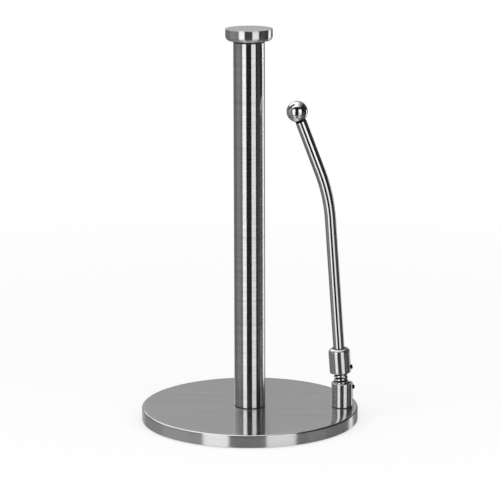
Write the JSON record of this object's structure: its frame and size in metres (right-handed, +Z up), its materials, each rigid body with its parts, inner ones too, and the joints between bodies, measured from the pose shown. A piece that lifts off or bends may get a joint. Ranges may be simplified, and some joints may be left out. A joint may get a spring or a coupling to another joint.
{
  "type": "paper towel holder",
  "caption": "Free-standing paper towel holder: round weighted foot, upright pole with a wide cap, and a ball-tipped arm on a coil spring that leans on the roll.",
  "frame": {"origin": "on the surface the holder stands on, on the axis of the pole, which is the middle of the foot", "axes": "+Z up along the pole, +X from the pole towards the arm, +Y to the left of +X seen from above"},
  "size_m": [0.1778, 0.1778, 0.3224],
  "materials": {
    "brushed_stainless": "stainless sheet brushed in straight lines",
    "turned_stainless": "stainless brushed round its own axis",
    "satin_stainless": "stainless tube, satin polish",
    "polished_steel": "mirror polish",
    "spring_wire": "bright drawn spring wire",
    "cast_weight": "rough casting, dark paint",
    "soft_pad": "dense black foam rubber",
    "plated_fastener": "zinc plated",
    "grub_screw": "black oxide, socket end",
    "plug_metal": "machined, as cut"
  },
  "bodies": {
    "base": {"base_cover": "brushed_stainless", "base_weight": "cast_weight", "underside_pad": "soft_pad", "pole_bolt": "plated_fastener", "pole_bolt_washer": "plated_fastener", "post_screw": "plated_fastener", "post_screw_washer": "plated_fastener", "pole_gasket": "soft_pad", "post_gasket": "soft_pad", "cap_gasket": "soft_pad", "pole_tube": "turned_stainless", "pole_foot_plug": "plug_metal", "pole_head_plug": "plug_metal", "cap_stud": "plated_fastener", "top_cap": "turned_stainless", "arm_post": "turned_stainless", "post_set_screw": "grub_screw"},
    "spring": {"tension_spring": "spring_wire"},
    "arm": {"arm_collar": "turned_stainless", "collar_set_screw": "grub_screw", "arm_tube": "satin_stainless", "tip_plug": "plug_metal", "ball_stud": "plated_fastener", "ball_finial": "polished_steel"}
  },
  "joints": [
    {"name": "arm_bend", "type": "hinge", "parent": "base", "child": "spring", "pos_m": [0.07493, 0, 0.03292], "axis": [0, 1, 0], "range_deg": [-4.2, 20], "stiffness_Nm_per_rad": 0.79, "springref_deg": 0.97, "deforming": ["tension_spring"]},
    {"name": "arm_sway", "type": "hinge", "parent": "spring", "child": "arm", "pos_m": [0.0745, 0, 0.03928], "axis": [1, 0, 0], "range_deg": [-15, 15], "stiffness_Nm_per_rad": 0.79, "deforming": ["tension_spring"]}
  ]
}
